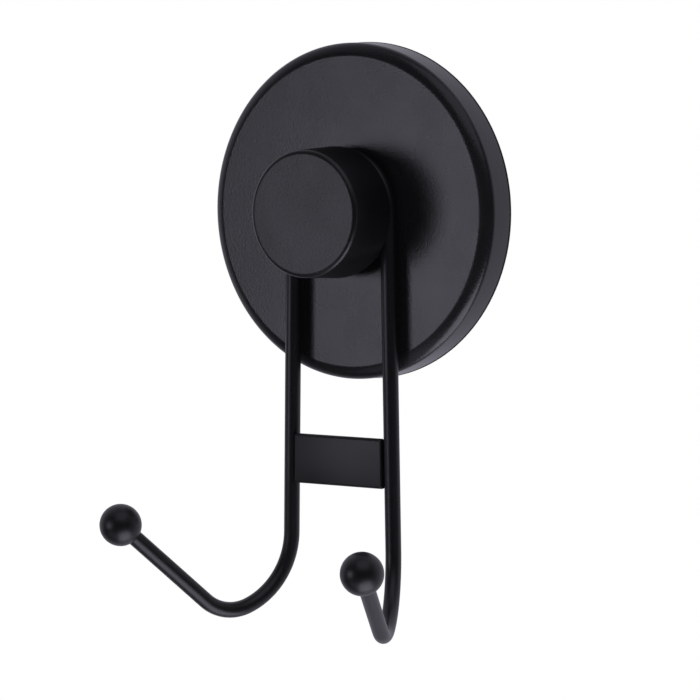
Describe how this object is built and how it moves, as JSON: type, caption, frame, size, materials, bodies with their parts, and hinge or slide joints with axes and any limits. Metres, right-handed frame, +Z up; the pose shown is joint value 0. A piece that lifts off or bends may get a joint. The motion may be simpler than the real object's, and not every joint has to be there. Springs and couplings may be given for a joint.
{
  "type": "suction cup hook",
  "caption": "Matte black suction hook: a round cover with a clamping knob holds a bent wire frame with two ball-ended hooks joined by a flat crossbar.",
  "frame": {"origin": "centre of the suction pad's flat back face, on the stud's axis", "axes": "+Z up, +Y into the wall, -Y towards the front, +X to the right of someone who faces the wall"},
  "size_m": [0.0852, 0.0625, 0.1475],
  "materials": {
    "cover_plastic": "fine matt grain",
    "coated_steel": "satin powder coat",
    "pad_rubber": "smooth matt",
    "core_plastic": "matt",
    "stud_steel": "zinc plated"
  },
  "bodies": {
    "frame": {"suction_pad": "pad_rubber", "cover": "cover_plastic", "mounting_plate": "coated_steel", "hook_wire": "coated_steel", "crossbar": "coated_steel", "ball_left": "coated_steel", "ball_right": "coated_steel", "washer": "stud_steel"},
    "knob": {"knob": "cover_plastic", "knob_nut": "stud_steel"},
    "stud": {"stud": "stud_steel", "core_disc": "core_plastic"}
  },
  "joints": [
    {"name": "knob_turn", "type": "hinge", "parent": "frame", "child": "knob", "pos_m": [0, 0, 0], "axis": [0, 1, 0], "range_deg": [0, 720]},
    {"name": "stud_draw", "type": "slide", "parent": "frame", "child": "stud", "axis": [0, -1, 0], "range_m": [0, 0.002], "deforming": ["suction_pad"]}
  ],
  "couplings": [
    {"joint": "stud_draw", "follows": "knob_turn", "m_per_rad": 0.00015915}
  ]
}
